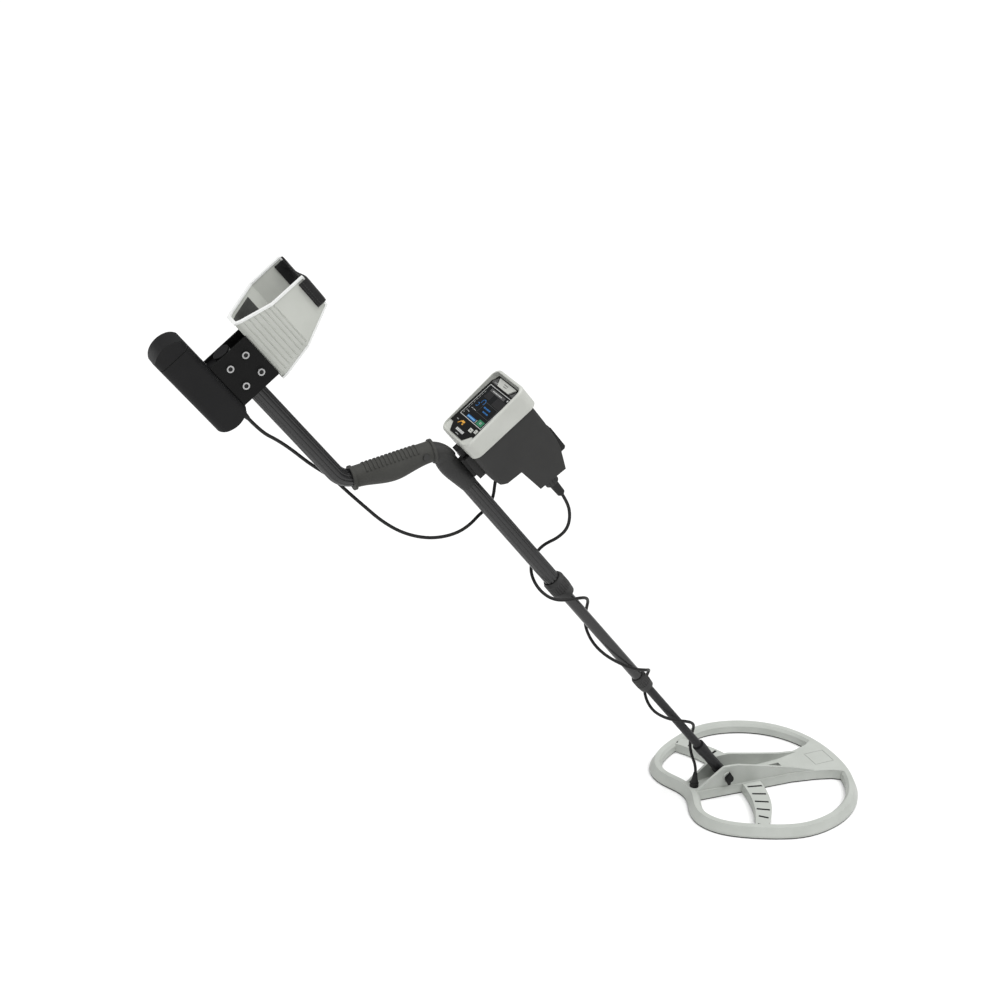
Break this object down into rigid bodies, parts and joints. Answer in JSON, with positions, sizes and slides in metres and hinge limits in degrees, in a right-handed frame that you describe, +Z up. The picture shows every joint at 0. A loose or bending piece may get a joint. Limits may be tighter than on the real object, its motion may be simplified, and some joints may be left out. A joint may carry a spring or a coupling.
{
  "type": "metal detector",
  "caption": "Hand-held metal detector with an arm cup, grip, control box, telescoping shaft and a tilting open-frame search coil.",
  "frame": {"origin": "middle of the hand grip, on the axis of the tube inside it", "axes": "+X forward towards the coil, +Y to the user's left, +Z up, with the coil level"},
  "size_m": [1.1828, 0.3502, 0.9841],
  "materials": {
    "shaft_black": "satin anodised black",
    "rod_black": "matte composite",
    "grip_rubber": "soft moulded rubber",
    "collar_grey": "fine grained",
    "plate_black": "black powder coat",
    "screw_steel": "bright socket screws",
    "cup_pale": "satin warm grey",
    "trim_white": "smooth white",
    "pad_dark": "closed cell foam",
    "strap_black": "woven webbing",
    "case_black": "fine texture",
    "shell_grey": "fine texture",
    "housing_pale": "satin warm grey",
    "bezel_black": "gloss",
    "window_glass": "clear",
    "panel_dark": "display module",
    "key_pale": "moulded key",
    "board_green": "solder mask",
    "cable_black": "jacket",
    "gland_black": "moulded boot",
    "seal_dark": "seal",
    "cell_metal": "cell sleeve",
    "winding_copper": "enamelled wire",
    "coil_grey": "satin pale grey",
    "skid_black": "wear cover",
    "bush_nylon": "nylon"
  },
  "bodies": {
    "handle": {"upper_tube": "shaft_black", "tube_plug": "case_black", "hand_grip": "grip_rubber", "bracket_plates": "plate_black", "bracket_screws": "screw_steel", "cup_foot": "plate_black", "cup_screws": "screw_steel", "case_saddle": "case_black", "cup_shell": "cup_pale", "cup_trim": "trim_white", "cup_pad": "pad_dark", "arm_strap": "strap_black", "battery_case": "case_black", "case_gland": "gland_black", "box_mount": "collar_grey", "box_shell": "shell_grey", "box_seal": "seal_dark", "box_housing": "housing_pale", "bezel": "bezel_black", "screen_window": "window_glass", "display_panel": "panel_dark", "circuit_board": "board_green", "board_screws": "screw_steel", "speaker": "case_black", "charge_socket": "bezel_black", "headphone_socket": "bezel_black", "coil_socket": "bezel_black", "coil_plug": "gland_black", "box_gland": "gland_black", "upper_collet": "bush_nylon", "battery_cable": "cable_black", "coil_cable_upper": "cable_black"},
    "thumb_button": {"grip_button": "collar_grey"},
    "battery_drawer": {"battery_cap": "case_black", "battery_seal": "seal_dark", "battery_tray": "case_black", "battery_cells": "cell_metal"},
    "box_latch": {"mount_latch": "bezel_black"},
    "top_key": {"power_key": "key_pale"},
    "lower_left_key": {"left_key": "key_pale"},
    "lower_right_key": {"right_key": "key_pale"},
    "jack_cover": {"socket_cover": "bezel_black"},
    "lock_ring": {"plug_ring": "collar_grey"},
    "upper_twist_lock": {"upper_collar": "collar_grey"},
    "middle_shaft": {"mid_tube": "shaft_black", "mid_bush": "bush_nylon", "lower_collet": "bush_nylon", "coil_cable_middle": "cable_black"},
    "lower_twist_lock": {"lower_collar": "collar_grey"},
    "lower_shaft": {"lower_rod": "rod_black", "rod_bush": "bush_nylon", "rod_end_fitting": "rod_black", "coil_cable_lower": "cable_black"},
    "search_coil": {"coil_shell": "coil_grey", "coil_winding": "winding_copper", "skid_plate": "skid_black", "hinge_bolt": "plate_black", "hinge_washers": "seal_dark", "coil_gland": "gland_black"},
    "thumb_nut": {"hinge_knob": "bezel_black"}
  },
  "joints": [
    {"name": "upper_slide", "type": "slide", "parent": "handle", "child": "middle_shaft", "axis": [0.632, 0, -0.7749], "range_m": [-0.12, 0.06], "deforming": ["coil_cable_upper"]},
    {"name": "lower_slide", "type": "slide", "parent": "middle_shaft", "child": "lower_shaft", "axis": [0.632, 0, -0.7749], "range_m": [-0.12, 0.05], "deforming": ["coil_cable_middle"]},
    {"name": "coil_tilt", "type": "hinge", "parent": "lower_shaft", "child": "search_coil", "pos_m": [0.60783, 0, -0.64651], "axis": [0, -1, 0], "range_deg": [-8, 100], "deforming": ["coil_cable_lower"]},
    {"name": "upper_lock_twist", "type": "hinge", "parent": "handle", "child": "upper_twist_lock", "pos_m": [0.27513, 0, -0.23858], "axis": [0.632, 0, -0.7749], "range_deg": [0, 60]},
    {"name": "lower_lock_twist", "type": "hinge", "parent": "middle_shaft", "child": "lower_twist_lock", "pos_m": [0.43756, 0, -0.43774], "axis": [0.632, 0, -0.7749], "range_deg": [0, 60]},
    {"name": "thumb_nut_turn", "type": "hinge", "parent": "search_coil", "child": "thumb_nut", "pos_m": [0.60783, 0, -0.64651], "axis": [0, -1, 0], "range_deg": [-120, 0]},
    {"name": "plug_ring_twist", "type": "hinge", "parent": "handle", "child": "lock_ring", "pos_m": [0.23708, -0.025, -0.04636], "axis": [0.632, 0, -0.7749], "range_deg": [0, 90]},
    {"name": "cover_swing", "type": "hinge", "parent": "handle", "child": "jack_cover", "pos_m": [0.23621, 0, 0.02906], "axis": [0, -1, 0], "range_deg": [0, 100]},
    {"name": "drawer_slide", "type": "slide", "parent": "handle", "child": "battery_drawer", "axis": [-0.632, 0, 0.7749], "range_m": [0, 0.11]},
    {"name": "latch_pull", "type": "slide", "parent": "handle", "child": "box_latch", "axis": [-0.632, 0, 0.7749], "range_m": [0, 0.003], "stiffness_N_per_m": 400},
    {"name": "top_key_press", "type": "slide", "parent": "handle", "child": "top_key", "axis": [0.632, 0, -0.7749], "range_m": [0, 0.0012], "stiffness_N_per_m": 350},
    {"name": "lower_left_key_press", "type": "slide", "parent": "handle", "child": "lower_left_key", "axis": [0.632, 0, -0.7749], "range_m": [0, 0.001], "stiffness_N_per_m": 250},
    {"name": "lower_right_key_press", "type": "slide", "parent": "handle", "child": "lower_right_key", "axis": [0.632, 0, -0.7749], "range_m": [0, 0.001], "stiffness_N_per_m": 250},
    {"name": "thumb_button_press", "type": "slide", "parent": "handle", "child": "thumb_button", "axis": [0, 1, 0], "range_m": [0, 0.001], "stiffness_N_per_m": 250}
  ]
}
